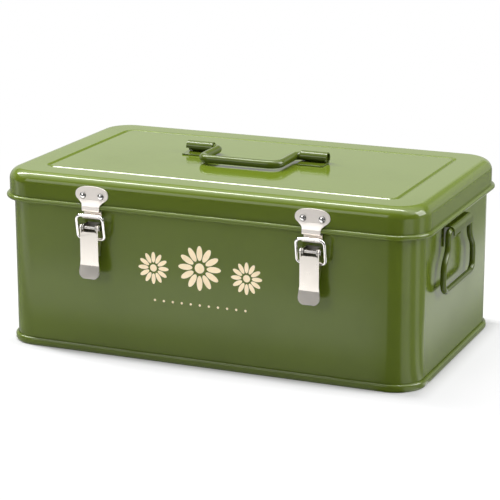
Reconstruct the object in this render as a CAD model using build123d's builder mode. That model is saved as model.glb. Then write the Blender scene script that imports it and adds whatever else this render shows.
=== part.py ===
from build123d import *
from math import acos, cos, degrees, radians, sin, sqrt
import os

# Garden seed organizer box, in millimetres: a green painted steel tin with a hinged lid, two toggle
# latches on its front, a carry handle on the lid and a drop handle on each end.
# X runs along the front from left to right, Y from front to back and Z up.
# The origin is on the ground, under the middle of the box.

# ---- Driving dimensions ----

# Body: one wrapped steel band on a pressed pan
body_width = 360.0  # outside of the wall, left to right
body_depth = 210.0  # outside of the wall, front to back
body_corner = 24.0  # outside radius of the upright corners
sheet = 0.8  # steel of the body, the lid and the partition
rim_radius = 1.25  # rolled rim along the top of the wall
seam_height = 6.5  # band closed round the foot, which shows as a bead
seam_proud = 2.5
seam_round = 1.2
channel_inset = 9.0  # stiffening channel pressed into the bottom, measured from the wall
channel_width = 12.0
channel_rise = 1.2

# Lid: what hangs on it or stands under it is measured from its bead
bead_height = 126.0  # middle of the rolled bead along the lid's lower edge
bead_radius = 2.2
bead_proud = 2.8  # beyond the skirt
lid_height = 23.0  # from the middle of the bead to the top
lid_gap = 3.0  # between the wall and the skirt
lid_round = 9.5  # rounded edge between the top and the skirt
lid_seat_gap = 0.3  # between the rolled rim and the lid when it is shut
groove_inset = 27.5  # stiffening groove pressed round the top, from the outside of the lid
groove_width = 4.4
groove_depth = 1.3
groove_corner = 10.0
groove_round = 0.6

# Inside: a lengthwise partition and loose index cards in two rows
partition_drop = 25.0  # from the rim to the top of the partition
partition_flange = 12.0
partition_hem = 1.2
card_count = 4  # in each row
card_thickness = 1.2
card_height = 104.0
card_corner = 4.0
card_tab_width = 26.0
card_tab_height = 9.0
card_clearance = 0.8  # at each side of a card

# Rivets
rivet_shank = 1.4
rivet_head = 2.8
rivet_head_height = 1.7
rivet_tail = 2.1
rivet_tail_height = 0.9

# Toggle latches: catch plate, with its heights above the bead
latch_inset = 84.0  # from an end of the wall to the middle of the latch nearest to it
catch_sheet = 1.0
catch_width = 29.3
catch_rise = 17.0  # to the top of the crown
catch_shoulder_rise = 8.8  # to the widest place
catch_shoulder_round = 3.2
catch_crown_rise = 13.8  # to where the rounded top begins
catch_crown_width = 26.4
catch_neck = 15.6
catch_neck_rise = 1.8
catch_neck_round = 3.0
catch_rivet_rise = 9.0
catch_rivet_spacing = 16.0
catch_clearance = 0.1  # between the bead and the plates that step over it
step_lean = 30.0  # degrees from upright, where the plates lean out over the bead
jog_bend = 1.5
hook_drop = 0.5  # from the underside of the bead to the hook
hook_depth = 6.9  # height of the hook's channel, outside
hook_back = 2.4  # distance of the hook's back from the wall
hook_width = 5.7  # from the hook's back to the front of its lip
hook_lip = 3.0
hook_bend = 1.7
throat_bend = 1.0

# Toggle latches: bail, lever and bracket
bail_wire = 1.3  # radius
bail_width = 26.5  # outside
bail_bend = 4.5
bail_foot_bend = 3.0
bail_rest_gap = 0.4  # between the bail's bar and the lip of the hook
bail_bar_drop = 6.4  # from the bead to the bar
bail_height = 19.7  # from its pivot to the bar
bail_pivot_out = 6.4  # from the wall
lever_pivot_drop = 10.3  # from the bail's bar to the lever's pivot
lever_pivot_out = 8.0
lever_pin_radius = 1.4
lever_width = 16.2
lever_sheet = 1.1
lever_eye = 3.0  # radius of the flange round the pivot
lever_bail_eye = 2.7
lever_plate_drop = 3.1  # these five from the pivot down
lever_flange_length = 23.3
lever_crease_drop = 31.2
lever_length = 42.2
lever_crease_bend = 4.0
lever_kick = 1.7  # how far the finger tab leans out
tab_width = 18.2
tab_corner = 5.5
tab_taper = 4.0
bracket_sheet = 1.2
bracket_gap = 10.8  # between the two ears
bracket_eye = 2.9
bracket_ear_drop = 6.8  # these from the pivot down
bracket_length = 25.3
bracket_tongue = 8.8  # width of the plate below the ears
bracket_rivet_drops = (12.8, 20.8)
running_clearance = 0.06  # a pin in its hole, on the radius
side_clearance = 0.2  # between a pin's head and the flange
pin_head = 2.4
pin_head_height = 0.8

# Hinges at the back
hinge_inset = 70.0  # from an end of the wall to the middle of the hinge nearest to it
hinge_width = 40.0
hinge_sheet = 1.0
hinge_corner = 3.0
hinge_drop = 6.5  # from the bead to the pin
hinge_knuckle = 2.6
hinge_pin_radius = 1.3
hinge_knuckle_count = 5
hinge_gap = 0.3
hinge_bend = 1.2
hinge_body_length = 23.5  # from the pin down
hinge_body_rivet_drop = 14.5
hinge_lid_rise = 13.0  # from the bead up
hinge_lid_rivet_rise = 9.0
hinge_rivet_spacing = 24.0

# Carry handle on the lid
handle_middle = -3.0  # the photographed handle stands a little left of the middle
handle_pivot_y = 17.0
handle_reach = 41.0  # from the pivot to the grip
handle_wire = 3.5  # radius
handle_leg = 35.0  # from the middle of the handle to a leg
handle_leg_bend = 5.0
handle_grip_bend = 9.0
handle_stub = 27.5  # the end that turns in the clip
clip_clearance = 0.3
clip_sheet = 1.2
handle_clip_start = 40.3
handle_clip_length = 24.0
handle_clip_foot = 14.5
handle_clip_corner = 2.0

# Drop handles on the two ends
end_middle = -15.0  # both handles hang a little to the front of the middle
end_wire = 2.45  # radius
end_pivot_out = 6.2
end_pivot_drop = 8.5  # from the bead to the middle of the top bar
end_narrow = 29.2  # from the middle to a leg, at the clip
end_wide = 40.0
end_neck_length = 15.0  # these from the top bar down
end_flare_length = 26.0
end_length = 48.0
end_top_bend = 4.0
end_flare_bend = 14.0
end_bottom_bend = 9.0
end_clip_length = 50.0
end_clip_drop = 13.5  # from the top bar to the clip's lower edge on the wall
end_clip_lip = 3.7  # from the top bar to the free edge in front

# ---- Sizes that follow ----

half_width = body_width / 2
half_depth = body_depth / 2
floor_top = channel_rise + sheet
pan_proud = seam_proud - seam_round
lid_top = bead_height + lid_height
lid_offset = lid_gap + sheet  # from the wall to the outside of the skirt
lid_width = body_width + 2 * lid_offset
lid_depth = body_depth + 2 * lid_offset
lid_corner = body_corner + lid_offset
bead_front = lid_offset + bead_proud
bead_offset = bead_front - bead_radius
front_wall = Plane.XZ.offset(half_depth)
back_wall = Plane.XZ.offset(-half_depth)
front_out = (0, -1, 0)
back_out = (0, 1, 0)
sides = (("left", -1), ("right", 1))
latch_reach = half_width - latch_inset  # from the middle of the box
hinge_reach = half_width - hinge_inset

# The rolled rim stands where it just clears the rounded edge inside the lid
lid_inner_round = lid_round - sheet
rim_under_round = max(0.0, lid_inner_round - lid_gap - rim_radius)
rim_reach = lid_inner_round - rim_radius - lid_seat_gap
rim_height = lid_top - lid_round + sqrt(rim_reach**2 - rim_under_round**2)

# What steps over the bead, in front and at the back
over_bead = bead_front + catch_clearance

# Heights of the latches and the hinges
catch_rivet_height = bead_height + catch_rivet_rise
bail_bar_height = bead_height - bail_bar_drop
bail_pivot_height = bail_bar_height - bail_height
lever_pivot_height = bail_bar_height - lever_pivot_drop
bracket_rivet_heights = [lever_pivot_height - drop for drop in bracket_rivet_drops]
hinge_height = bead_height - hinge_drop
hinge_out = hinge_knuckle + hinge_gap
hinge_body_rivet_height = hinge_height - hinge_body_rivet_drop
hinge_lid_rivet_height = bead_height + hinge_lid_rivet_rise

os.makedirs("parts", exist_ok=True)


def front_y(out):
    """Y of a place that stands out from the front wall."""
    return -half_depth - out


def step_height(out, half_sheet):
    """Height where the leaning part of a plate has its middle half a sheet beyond that distance out."""
    reach = bead_radius + catch_clearance + half_sheet
    across = out + half_sheet - bead_offset
    return bead_height + (reach - across * cos(radians(step_lean))) / sin(radians(step_lean))


def back_y(out):
    """Y of a place that stands out from the back wall."""
    return half_depth + out


def rounded_ring(width, depth, corner, height, radius):
    """A round bead that runs along a rounded rectangle."""
    with BuildSketch(Plane.XY.offset(height)) as outline:
        RectangleRounded(width, depth, corner)
    path = outline.sketch.wire()
    with BuildPart() as ring:
        with BuildSketch(Plane(origin=path @ 0, z_dir=path % 0)):
            Circle(radius)
        sweep(path=path)
    return ring.part


def bent_wire(plane, points, bends, radius, closed=False):
    """A round wire bent along a polyline that lies in a plane."""
    with BuildLine(plane) as line:
        FilletPolyline(*points, radius=bends, close=closed)
    path = line.wire()
    with BuildPart() as wire:
        with BuildSketch(Plane(origin=path @ 0, z_dir=path % 0)):
            Circle(radius)
        sweep(path=path)
    return wire.part


def bent_strip(plane, points, bends, thickness):
    """The section of a strip of sheet that is bent along the middle of its thickness."""
    with BuildSketch(plane) as strip:
        with BuildLine():
            FilletPolyline(*points, radius=bends)
        trace(line_width=thickness)
    return strip.sketch


def rivet(x, height, seat_y, out, grip):
    """A domed rivet: its head sits at seat_y and its tail is spread behind the sheets."""
    facing = Plane(origin=(x, seat_y, height), x_dir=(1, 0, 0), z_dir=(0, 0, out[1]))
    dome_radius = (rivet_head**2 + rivet_head_height**2) / (2 * rivet_head_height)
    dome_start = degrees(acos(rivet_head / dome_radius))
    with BuildPart() as body:
        with BuildSketch(facing):
            with BuildLine():
                CenterArc((0, rivet_head_height - dome_radius), dome_radius, dome_start, 90 - dome_start)
                Polyline(
                    (rivet_head, 0),
                    (rivet_shank, 0),
                    (rivet_shank, -grip),
                    (rivet_tail, -grip),
                    (rivet_tail, -grip - rivet_tail_height),
                    (0, -grip - rivet_tail_height),
                    (0, rivet_head_height),
                )
            make_face()
        revolve(axis=Axis((x, seat_y, height), out))
    return body.part


# ---- Body ----

# Base pan: flat bottom with a pressed channel, under the foot of the wall
with BuildPart() as base_pan:
    with BuildSketch():
        RectangleRounded(
            body_width + 2 * pan_proud, body_depth + 2 * pan_proud, body_corner + pan_proud
        )
    extrude(amount=sheet)
    channel_outer = channel_inset + sheet
    channel_inner = channel_inset + channel_width
    with BuildSketch(Plane.XY.offset(sheet)):
        RectangleRounded(
            body_width - 2 * channel_inset, body_depth - 2 * channel_inset, body_corner - channel_inset
        )
        RectangleRounded(
            body_width - 2 * (channel_inner + sheet),
            body_depth - 2 * (channel_inner + sheet),
            body_corner / 2,
            mode=Mode.SUBTRACT,
        )
    extrude(amount=channel_rise)
    with BuildSketch():
        RectangleRounded(
            body_width - 2 * channel_outer, body_depth - 2 * channel_outer, body_corner - channel_outer
        )
        RectangleRounded(
            body_width - 2 * channel_inner,
            body_depth - 2 * channel_inner,
            body_corner / 2,
            mode=Mode.SUBTRACT,
        )
    extrude(amount=channel_rise, mode=Mode.SUBTRACT)
base_pan.part.label = "base_pan"
export_step(base_pan.part, "parts/base_pan.step")

# Foot band: a strip closed round the joint of pan and wall, soldered to both, which shows as a bead
with BuildPart() as foot_band:
    with BuildSketch(Plane.XY.offset(sheet)):
        RectangleRounded(
            body_width + 2 * seam_proud, body_depth + 2 * seam_proud, body_corner + seam_proud
        )
    extrude(amount=seam_height - sheet)
    band_edges = foot_band.edges().group_by(Axis.Z)
    fillet(band_edges[0] + band_edges[-1], radius=seam_round)
    with BuildSketch(Plane.XY.offset(sheet)):
        RectangleRounded(body_width, body_depth, body_corner)
    extrude(amount=seam_height, mode=Mode.SUBTRACT)
foot_band.part.label = "foot_band"
export_step(foot_band.part, "parts/foot_band.step")

# Body wall: stands on the pan inside the foot band and ends in a rim rolled inwards
with BuildPart() as body_wall:
    with BuildSketch(Plane.XY.offset(sheet)):
        RectangleRounded(body_width, body_depth, body_corner)
        RectangleRounded(
            body_width - 2 * sheet, body_depth - 2 * sheet, body_corner - sheet, mode=Mode.SUBTRACT
        )
    extrude(amount=rim_height - sheet)
    add(
        rounded_ring(
            body_width - 2 * rim_radius,
            body_depth - 2 * rim_radius,
            body_corner - rim_radius,
            rim_height,
            rim_radius,
        )
    )
    with BuildSketch(front_wall):
        for side, sign in sides:
            for height in bracket_rivet_heights:
                with Locations((sign * latch_reach, height)):
                    Circle(rivet_shank)
    extrude(amount=-2 * sheet, mode=Mode.SUBTRACT)
    with BuildSketch(back_wall):
        for side, sign in sides:
            with Locations((sign * hinge_reach, hinge_body_rivet_height)):
                with GridLocations(hinge_rivet_spacing, 0, 2, 1):
                    Circle(rivet_shank)
    extrude(amount=2 * sheet, mode=Mode.SUBTRACT)
body_wall.part.label = "body_wall"
export_step(body_wall.part, "parts/body_wall.step")

# Partition: a lengthwise sheet with a rolled top edge, spot welded to the end walls by its flanges
partition_length = body_width - 2 * sheet
partition_height = rim_height - partition_drop - floor_top
with BuildPart() as partition:
    with Locations((0, 0, floor_top + partition_height / 2)):
        Box(partition_length, sheet, partition_height)
    for side, sign in sides:
        flange_x = sign * (partition_length - sheet) / 2
        with Locations((flange_x, sign * partition_flange / 2, floor_top + partition_height / 2)):
            Box(sheet, partition_flange, partition_height)
    with BuildSketch(Plane.YZ.offset(-partition_length / 2)):
        with Locations((0, floor_top + partition_height)):
            Circle(partition_hem)
    extrude(amount=partition_length)
partition.part.label = "partition"
export_step(partition.part, "parts/partition.step")

# Index cards: they stand loose on the floor, across the two rows, with staggered tabs
row_depth = (body_depth - 3 * sheet) / 2
card_width = row_depth - 2 * card_clearance
card_pitch = partition_length / (card_count + 1)
tab_travel = card_width - card_tab_width - 2 * card_corner
for row, toward in (("front", -1), ("back", 1)):
    for number in range(card_count):
        card_x = (number - (card_count - 1) / 2) * card_pitch
        card_y = toward * (sheet + row_depth) / 2
        tab_shift = (number / (card_count - 1) - 0.5) * tab_travel
        with BuildPart() as card:
            with BuildSketch(Plane.YZ.offset(card_x - card_thickness / 2)):
                with Locations((card_y, floor_top + card_height / 2)):
                    Rectangle(card_width, card_height)
                with Locations((card_y + tab_shift, floor_top + card_height + card_tab_height / 2)):
                    Rectangle(card_tab_width, card_tab_height)
            extrude(amount=card_thickness)
            fillet(card.edges().filter_by(Axis.X).group_by(Axis.Z)[-1], radius=card_corner)
        card.part.label = f"card_{row}_{number + 1}"
        export_step(card.part, f"parts/card_{row}_{number + 1}.step")

# ---- Lid ----


def lid_form(inset, bottom):
    """The outside of the lid, or its inside where it is inset by one sheet."""
    with BuildPart() as form:
        with BuildSketch(Plane.XY.offset(bottom)):
            RectangleRounded(lid_width - 2 * inset, lid_depth - 2 * inset, lid_corner - inset)
        extrude(amount=lid_top - inset - bottom)
        fillet(form.faces().sort_by(Axis.Z)[-1].edges(), radius=lid_round - inset)
        groove_outer = groove_inset - inset
        groove_inner = groove_inset + groove_width + inset
        with BuildSketch(Plane.XY.offset(lid_top - inset)):
            RectangleRounded(
                lid_width - 2 * groove_outer, lid_depth - 2 * groove_outer, groove_corner + inset
            )
            RectangleRounded(
                lid_width - 2 * groove_inner,
                lid_depth - 2 * groove_inner,
                groove_corner - groove_width - inset,
                mode=Mode.SUBTRACT,
            )
        extrude(amount=-groove_depth, mode=Mode.SUBTRACT)
        level_faces = form.faces().filter_by(Axis.Z).group_by(Axis.Z)
        groove_edges = level_faces[-2].edges()
        for face in level_faces[-1]:
            holes = face.inner_wires()
            groove_edges += holes[0].edges() if holes else face.edges()
        fillet(groove_edges, radius=groove_round)
    return form.part


# Lid shell: drawn from one sheet, its lower edge rolled into a bead
with BuildPart() as lid_shell:
    add(lid_form(0, bead_height))
    add(lid_form(sheet, bead_height - sheet), mode=Mode.SUBTRACT)
    add(
        rounded_ring(
            body_width + 2 * bead_offset,
            body_depth + 2 * bead_offset,
            body_corner + bead_offset,
            bead_height,
            bead_radius,
        )
    )
    with BuildSketch(front_wall.offset(lid_offset)):
        for side, sign in sides:
            with Locations((sign * latch_reach, catch_rivet_height)):
                with GridLocations(catch_rivet_spacing, 0, 2, 1):
                    Circle(rivet_shank)
    extrude(amount=-lid_offset, mode=Mode.SUBTRACT)
    with BuildSketch(back_wall.offset(-lid_offset)):
        for side, sign in sides:
            with Locations((sign * hinge_reach, hinge_lid_rivet_height)):
                with GridLocations(hinge_rivet_spacing, 0, 2, 1):
                    Circle(rivet_shank)
    extrude(amount=lid_offset, mode=Mode.SUBTRACT)
lid_shell.part.label = "lid_shell"
export_step(lid_shell.part, "parts/lid_shell.step")

# ---- Toggle latches ----

catch_top = bead_height + catch_rise
catch_crown = bead_height + catch_crown_rise
catch_shoulder = bead_height + catch_shoulder_rise
catch_neck_height = bead_height + catch_neck_rise
hook_top = bead_height - bead_radius - hook_drop
hook_bottom = hook_top - hook_depth
hook_front = hook_back + hook_width
bail_bar_out = hook_front + bail_rest_gap + bail_wire
bail_half = bail_width / 2 - bail_wire
bail_rise = Vector(0, bail_pivot_out - bail_bar_out, bail_height)
flange_inner = lever_width / 2 - lever_sheet
ear_outer = bracket_gap / 2 + bracket_sheet
half_catch = catch_sheet / 2
lever_front = lever_pivot_out + lever_eye
lever_plate_top = lever_pivot_height - lever_plate_drop
lever_flange_end = lever_pivot_height - lever_flange_length
lever_crease = lever_pivot_height - lever_crease_drop
lever_end = lever_pivot_height - lever_length
bracket_top = lever_pivot_height + bracket_eye
bracket_ear_bottom = lever_pivot_height - bracket_ear_drop
bracket_bottom = lever_pivot_height - bracket_length

for side, sign in sides:
    latch_x = sign * latch_reach

    # Catch plate: riveted to the skirt, stepped out over the bead and curled into a hook below it
    with BuildPart() as catch_plate:
        catch_section = bent_strip(
            Plane.YZ.offset(latch_x),
            (
                (front_y(lid_offset + half_catch), catch_top + catch_sheet),
                (front_y(lid_offset + half_catch), step_height(lid_offset, half_catch)),
                (front_y(over_bead + half_catch), step_height(over_bead, half_catch)),
                (front_y(over_bead + half_catch), hook_top - half_catch),
                (front_y(hook_back + half_catch), hook_top - half_catch),
                (front_y(hook_back + half_catch), hook_bottom + half_catch),
                (front_y(hook_front - half_catch), hook_bottom + half_catch),
                (front_y(hook_front - half_catch), hook_bottom + hook_lip),
            ),
            (jog_bend, jog_bend, throat_bend, throat_bend, hook_bend, hook_bend),
            catch_sheet,
        )
        extrude(catch_section, amount=catch_width / 2, both=True)
        with BuildSketch(front_wall) as catch_outline:
            with BuildLine():
                Polyline(
                    (latch_x + catch_crown_width / 2, catch_crown),
                    (latch_x + catch_width / 2, catch_shoulder),
                    (latch_x + catch_neck / 2, catch_neck_height),
                    (latch_x + catch_neck / 2, hook_bottom - catch_sheet),
                    (latch_x - catch_neck / 2, hook_bottom - catch_sheet),
                    (latch_x - catch_neck / 2, catch_neck_height),
                    (latch_x - catch_width / 2, catch_shoulder),
                    (latch_x - catch_crown_width / 2, catch_crown),
                )
                ThreePointArc(
                    (latch_x - catch_crown_width / 2, catch_crown),
                    (latch_x, catch_top),
                    (latch_x + catch_crown_width / 2, catch_crown),
                )
            make_face()
            shoulders = catch_outline.vertices().filter_by_position(
                Axis.Z, catch_shoulder - catch_sheet, catch_top
            )
            fillet(shoulders, radius=catch_shoulder_round)
            necks = catch_outline.vertices().filter_by_position(
                Axis.Z, catch_neck_height - catch_sheet, catch_neck_height + catch_sheet
            )
            fillet(necks, radius=catch_neck_round)
        extrude(amount=lid_offset + over_bead + hook_front, both=True, mode=Mode.INTERSECT)
        with BuildSketch(front_wall.offset(lid_offset)):
            with Locations((latch_x, catch_rivet_height)):
                with GridLocations(catch_rivet_spacing, 0, 2, 1):
                    Circle(rivet_shank)
        extrude(amount=2 * catch_sheet, mode=Mode.SUBTRACT)
    catch_plate.part.label = f"catch_plate_{side}"
    export_step(catch_plate.part, f"parts/catch_plate_{side}.step")

    # Two rivets hold the catch plate
    with BuildPart() as catch_rivets:
        for shift in (-catch_rivet_spacing / 2, catch_rivet_spacing / 2):
            add(
                rivet(
                    latch_x + shift,
                    catch_rivet_height,
                    front_y(lid_offset + catch_sheet),
                    front_out,
                    catch_sheet + sheet,
                )
            )
    catch_rivets.part.label = f"catch_rivets_{side}"
    export_step(catch_rivets.part, f"parts/catch_rivets_{side}.step")

    # Bracket: a channel with two ears, riveted to the wall behind the lever
    with BuildPart() as latch_bracket:
        with BuildSketch(Plane.YZ.offset(latch_x)):
            with Locations((front_y(lever_pivot_out), lever_pivot_height)):
                Circle(bracket_eye)
            with BuildLine():
                Polyline(
                    (front_y(0), bracket_ear_bottom),
                    (front_y(bracket_sheet), bracket_ear_bottom),
                    (front_y(bracket_sheet), bracket_top),
                    (front_y(0), bracket_top),
                    close=True,
                )
            make_face()
            make_hull()
        extrude(amount=ear_outer, both=True)
        with BuildSketch(Plane.YZ.offset(latch_x)):
            with Locations((front_y(bracket_sheet), lever_pivot_height)):
                Rectangle(2 * lever_front, 2 * lever_front, align=(Align.MAX, Align.CENTER))
        extrude(amount=bracket_gap / 2, both=True, mode=Mode.SUBTRACT)
        with BuildSketch(front_wall):
            with Locations((latch_x, (bracket_ear_bottom + bracket_top) / 2)):
                Rectangle(2 * ear_outer, bracket_top - bracket_ear_bottom)
            with Locations((latch_x, (bracket_bottom + bracket_top) / 2)):
                Rectangle(bracket_tongue, bracket_top - bracket_bottom)
        extrude(amount=bracket_sheet)
        with BuildSketch(Plane.YZ.offset(latch_x)):
            with Locations((front_y(lever_pivot_out), lever_pivot_height)):
                Circle(lever_pin_radius)
        extrude(amount=lever_width, both=True, mode=Mode.SUBTRACT)
        with BuildSketch(front_wall):
            for height in bracket_rivet_heights:
                with Locations((latch_x, height)):
                    Circle(rivet_shank)
        extrude(amount=2 * bracket_sheet, mode=Mode.SUBTRACT)
    latch_bracket.part.label = f"latch_bracket_{side}"
    export_step(latch_bracket.part, f"parts/latch_bracket_{side}.step")

    # Two rivets hold the bracket
    with BuildPart() as bracket_rivets:
        for height in bracket_rivet_heights:
            add(rivet(latch_x, height, front_y(bracket_sheet), front_out, bracket_sheet + sheet))
    bracket_rivets.part.label = f"bracket_rivets_{side}"
    export_step(bracket_rivets.part, f"parts/bracket_rivets_{side}.step")

    # Lever pin: fixed in the ears, with a head outside each flange of the lever
    with BuildPart() as lever_pin:
        with BuildSketch(Plane.YZ.offset(latch_x)):
            with Locations((front_y(lever_pivot_out), lever_pivot_height)):
                Circle(lever_pin_radius)
        extrude(amount=lever_width / 2 + side_clearance, both=True)
        for way in (-1, 1):
            head_start = latch_x + way * (lever_width / 2 + side_clearance)
            with BuildSketch(Plane.YZ.offset(head_start)):
                with Locations((front_y(lever_pivot_out), lever_pivot_height)):
                    Circle(pin_head)
            extrude(amount=way * pin_head_height)
        fillet(lever_pin.edges().group_by(Axis.X)[0], radius=pin_head_height / 2)
        fillet(lever_pin.edges().group_by(Axis.X)[-1], radius=pin_head_height / 2)
    lever_pin.part.label = f"lever_pin_{side}"
    export_step(lever_pin.part, f"parts/lever_pin_{side}.step")

    # Lever: a long plate with a finger tab, and two flanges that turn on the pin and carry the bail
    with BuildPart() as lever:
        lever_middle = lever_front - lever_sheet / 2
        lever_section = bent_strip(
            Plane.YZ.offset(latch_x),
            (
                (front_y(lever_middle), lever_plate_top),
                (front_y(lever_middle), lever_crease),
                (front_y(lever_middle + lever_kick), lever_end),
            ),
            lever_crease_bend,
            lever_sheet,
        )
        extrude(lever_section, amount=tab_width / 2, both=True)
        with BuildSketch(front_wall) as lever_outline:
            with BuildLine():
                Polyline(
                    (latch_x - lever_width / 2, lever_plate_top + lever_sheet),
                    (latch_x - lever_width / 2, lever_crease + tab_taper),
                    (latch_x - tab_width / 2, lever_crease - tab_taper),
                    (latch_x - tab_width / 2, lever_end),
                    (latch_x + tab_width / 2, lever_end),
                    (latch_x + tab_width / 2, lever_crease - tab_taper),
                    (latch_x + lever_width / 2, lever_crease + tab_taper),
                    (latch_x + lever_width / 2, lever_plate_top + lever_sheet),
                    close=True,
                )
            make_face()
            fillet(lever_outline.vertices().group_by(Axis.Z)[0], radius=tab_corner)
        extrude(amount=2 * lever_front, mode=Mode.INTERSECT)
        for way in (-1, 1):
            with BuildSketch(Plane.YZ.offset(latch_x + way * flange_inner)):
                with Locations((front_y(lever_pivot_out), lever_pivot_height)):
                    Circle(lever_eye)
                with Locations((front_y(bail_pivot_out), bail_pivot_height)):
                    Circle(lever_bail_eye)
                with Locations((front_y(lever_front), lever_flange_end)):
                    Rectangle(lever_sheet, lever_sheet, align=(Align.MIN, Align.MIN))
                make_hull()
                with Locations((front_y(lever_pivot_out), lever_pivot_height)):
                    Circle(lever_pin_radius + running_clearance, mode=Mode.SUBTRACT)
                with Locations((front_y(bail_pivot_out), bail_pivot_height)):
                    Circle(bail_wire + running_clearance, mode=Mode.SUBTRACT)
            extrude(amount=way * lever_sheet)
    lever.part.label = f"latch_lever_{side}"
    export_step(lever.part, f"parts/latch_lever_{side}.step")

    # Bail: a wire loop whose two ends turn in the flanges of the lever
    bail_plane = Plane(
        origin=(latch_x, front_y(bail_pivot_out), bail_pivot_height),
        x_dir=(1, 0, 0),
        z_dir=Vector(1, 0, 0).cross(bail_rise),
    )
    with BuildPart() as bail:
        add(
            bent_wire(
                bail_plane,
                (
                    (-flange_inner + side_clearance, 0),
                    (-bail_half, 0),
                    (-bail_half, bail_rise.length),
                    (bail_half, bail_rise.length),
                    (bail_half, 0),
                    (flange_inner - side_clearance, 0),
                ),
                (bail_foot_bend, bail_bend, bail_bend, bail_foot_bend),
                bail_wire,
            )
        )
    bail.part.label = f"latch_bail_{side}"
    export_step(bail.part, f"parts/latch_bail_{side}.step")

# ---- Hinges at the back ----

knuckle_pitch = hinge_width / hinge_knuckle_count
knuckle_length = knuckle_pitch - hinge_gap
knuckle_reach = hinge_knuckle + hinge_gap  # swept by a knuckle, with its clearance
half_leaf = hinge_sheet / 2
leaf_bottom = hinge_height - hinge_body_length
leaf_end = hinge_height - knuckle_reach

for side, sign in sides:
    hinge_x = sign * hinge_reach
    knuckle_starts = [hinge_x - hinge_width / 2 + n * knuckle_pitch for n in range(hinge_knuckle_count)]
    body_starts = knuckle_starts[0::2]
    lid_starts = knuckle_starts[1::2]

    # Body leaf: flat on the back wall, with every other knuckle
    with BuildPart() as body_leaf:
        with BuildSketch(back_wall):
            with Locations((hinge_x, (leaf_bottom + leaf_end) / 2)):
                Rectangle(hinge_width, leaf_end - leaf_bottom)
        extrude(amount=-hinge_sheet)
        fillet(body_leaf.edges().filter_by(Axis.Y).group_by(Axis.Z)[0], radius=hinge_corner)
        for start in body_starts:
            with BuildSketch(Plane.YZ.offset(start)):
                with Locations((back_y(hinge_sheet / 2), leaf_end)):
                    Rectangle(hinge_sheet, 2 * knuckle_reach)
                with Locations((back_y(hinge_out), hinge_height)):
                    Circle(hinge_knuckle)
            extrude(amount=knuckle_length)
        with BuildSketch(Plane.YZ.offset(hinge_x)):
            with Locations((back_y(hinge_out), hinge_height)):
                Circle(hinge_pin_radius)
        extrude(amount=hinge_width, both=True, mode=Mode.SUBTRACT)
        with BuildSketch(back_wall):
            with Locations((hinge_x, hinge_body_rivet_height)):
                with GridLocations(hinge_rivet_spacing, 0, 2, 1):
                    Circle(rivet_shank)
        extrude(amount=-2 * hinge_sheet, mode=Mode.SUBTRACT)
    body_leaf.part.label = f"hinge_body_leaf_{side}"
    export_step(body_leaf.part, f"parts/hinge_body_leaf_{side}.step")

    # Lid leaf: stepped over the bead and riveted to the skirt, with the knuckles between
    with BuildPart() as lid_leaf:
        knuckle_middle = hinge_out + hinge_knuckle - half_leaf
        leaf_section = bent_strip(
            Plane.YZ.offset(hinge_x),
            (
                (back_y(knuckle_middle), hinge_height),
                (back_y(knuckle_middle), hinge_height + hinge_sheet),
                (back_y(over_bead + half_leaf), bead_height - knuckle_reach),
                (back_y(over_bead + half_leaf), step_height(over_bead, half_leaf)),
                (back_y(lid_offset + half_leaf), step_height(lid_offset, half_leaf)),
                (back_y(lid_offset + half_leaf), bead_height + hinge_lid_rise),
            ),
            hinge_bend,
            hinge_sheet,
        )
        extrude(leaf_section, amount=hinge_width / 2, both=True)
        fillet(lid_leaf.edges().filter_by(Axis.Y).group_by(Axis.Z)[-1], radius=hinge_corner)
        for start in body_starts:
            notch = (start - hinge_gap, back_y(0), hinge_height - knuckle_reach)
            with Locations(notch):
                Box(
                    knuckle_length + 2 * hinge_gap,
                    4 * knuckle_reach,
                    2 * knuckle_reach,
                    align=(Align.MIN, Align.MIN, Align.MIN),
                    mode=Mode.SUBTRACT,
                )
        for start in lid_starts:
            with BuildSketch(Plane.YZ.offset(start)):
                with Locations((back_y(hinge_out), hinge_height)):
                    Circle(hinge_knuckle)
            extrude(amount=knuckle_length)
        with BuildSketch(Plane.YZ.offset(hinge_x)):
            with Locations((back_y(hinge_out), hinge_height)):
                Circle(hinge_pin_radius + running_clearance)
        extrude(amount=hinge_width, both=True, mode=Mode.SUBTRACT)
        with BuildSketch(back_wall.offset(-lid_offset)):
            with Locations((hinge_x, hinge_lid_rivet_height)):
                with GridLocations(hinge_rivet_spacing, 0, 2, 1):
                    Circle(rivet_shank)
        extrude(amount=-2 * hinge_sheet, mode=Mode.SUBTRACT)
    lid_leaf.part.label = f"hinge_lid_leaf_{side}"
    export_step(lid_leaf.part, f"parts/hinge_lid_leaf_{side}.step")

    # Hinge pin: fixed in the body knuckles
    with BuildPart() as hinge_pin:
        with BuildSketch(Plane.YZ.offset(hinge_x - hinge_width / 2)):
            with Locations((back_y(hinge_out), hinge_height)):
                Circle(hinge_pin_radius)
        extrude(amount=hinge_width - hinge_gap)
    hinge_pin.part.label = f"hinge_pin_{side}"
    export_step(hinge_pin.part, f"parts/hinge_pin_{side}.step")

    # Rivets of the two leaves
    leaf_seats = (
        ("body", hinge_body_rivet_height, back_y(hinge_sheet)),
        ("lid", hinge_lid_rivet_height, back_y(lid_offset + hinge_sheet)),
    )
    for leaf, height, seat in leaf_seats:
        with BuildPart() as hinge_rivets:
            for shift in (-hinge_rivet_spacing / 2, hinge_rivet_spacing / 2):
                add(rivet(hinge_x + shift, height, seat, back_out, hinge_sheet + sheet))
        hinge_rivets.part.label = f"hinge_{leaf}_rivets_{side}"
        export_step(hinge_rivets.part, f"parts/hinge_{leaf}_rivets_{side}.step")

# ---- Carry handle on the lid ----

clip_bore = handle_wire + clip_clearance
clip_outer = clip_bore + clip_sheet
handle_pivot_height = lid_top + clip_outer

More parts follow.
